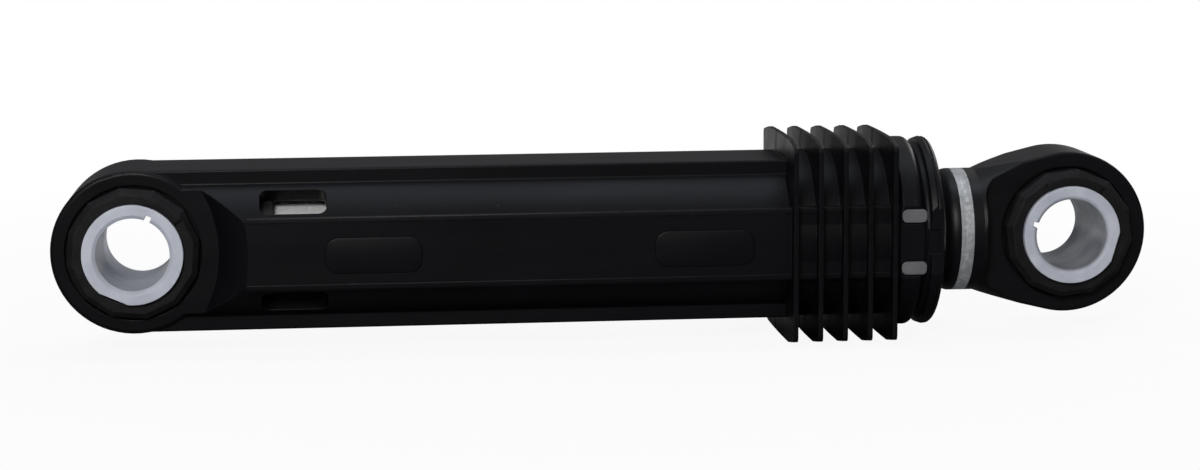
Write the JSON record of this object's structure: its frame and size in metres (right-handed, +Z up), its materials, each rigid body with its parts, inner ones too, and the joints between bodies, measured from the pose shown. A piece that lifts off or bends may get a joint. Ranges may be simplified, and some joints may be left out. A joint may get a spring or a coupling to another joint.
{
  "type": "washing machine damper",
  "caption": "Telescopic friction damper with a finned plastic barrel, a steel tube rod, and a rubber-bushed eye at each end.",
  "frame": {"origin": "centre of the barrel eye's bore", "axes": "+X along the damper, from the barrel eye to the rod eye; +Y along both eye bores; +Z up, across the damper"},
  "size_m": [0.2147, 0.038, 0.0402],
  "materials": {
    "housing_plastic": "moulded black plastic, satin",
    "bush_rubber": "black rubber, matt",
    "sleeve_nylon": "natural white nylon",
    "cage_nylon": "white nylon",
    "guide_plastic": "dark acetal",
    "lining_foam": "greased open-cell foam",
    "wiper_felt": "felt",
    "zinc_steel": "zinc-plated steel"
  },
  "bodies": {
    "barrel": {"barrel_housing": "housing_plastic", "barrel_eye_rubber": "bush_rubber", "bottom_buffer": "bush_rubber", "rebound_ring": "bush_rubber", "bearing_bush": "guide_plastic", "friction_cage_upper": "cage_nylon", "friction_cage_lower": "cage_nylon", "friction_lining_inner": "lining_foam", "friction_lining_outer": "lining_foam", "lining_spacer": "cage_nylon", "mouth_wiper": "wiper_felt"},
    "barrel_sleeve": {"barrel_eye_sleeve": "sleeve_nylon"},
    "guide": {"rod_guide": "guide_plastic"},
    "rod": {"piston_rod": "zinc_steel", "rod_end_plug": "guide_plastic", "rod_head": "housing_plastic", "neck_ferrule": "zinc_steel", "rod_eye_rubber": "bush_rubber"},
    "rod_sleeve": {"rod_eye_sleeve": "sleeve_nylon"}
  },
  "joints": [
    {"name": "rod_slide", "type": "slide", "parent": "barrel", "child": "guide", "axis": [1, 0, 0], "range_m": [0, 0.0795]},
    {"name": "rod_twist", "type": "hinge", "parent": "guide", "child": "rod", "pos_m": [0.0242, 0, 0], "axis": [1, 0, 0], "continuous": true},
    {"name": "barrel_eye_pivot", "type": "hinge", "parent": "barrel", "child": "barrel_sleeve", "pos_m": [0, 0, 0], "axis": [0, 1, 0], "range_deg": [-18, 18], "stiffness_Nm_per_rad": 2},
    {"name": "rod_eye_pivot", "type": "hinge", "parent": "rod", "child": "rod_sleeve", "pos_m": [0.183, 0, 0], "axis": [0, 1, 0], "range_deg": [-18, 18], "stiffness_Nm_per_rad": 2}
  ]
}
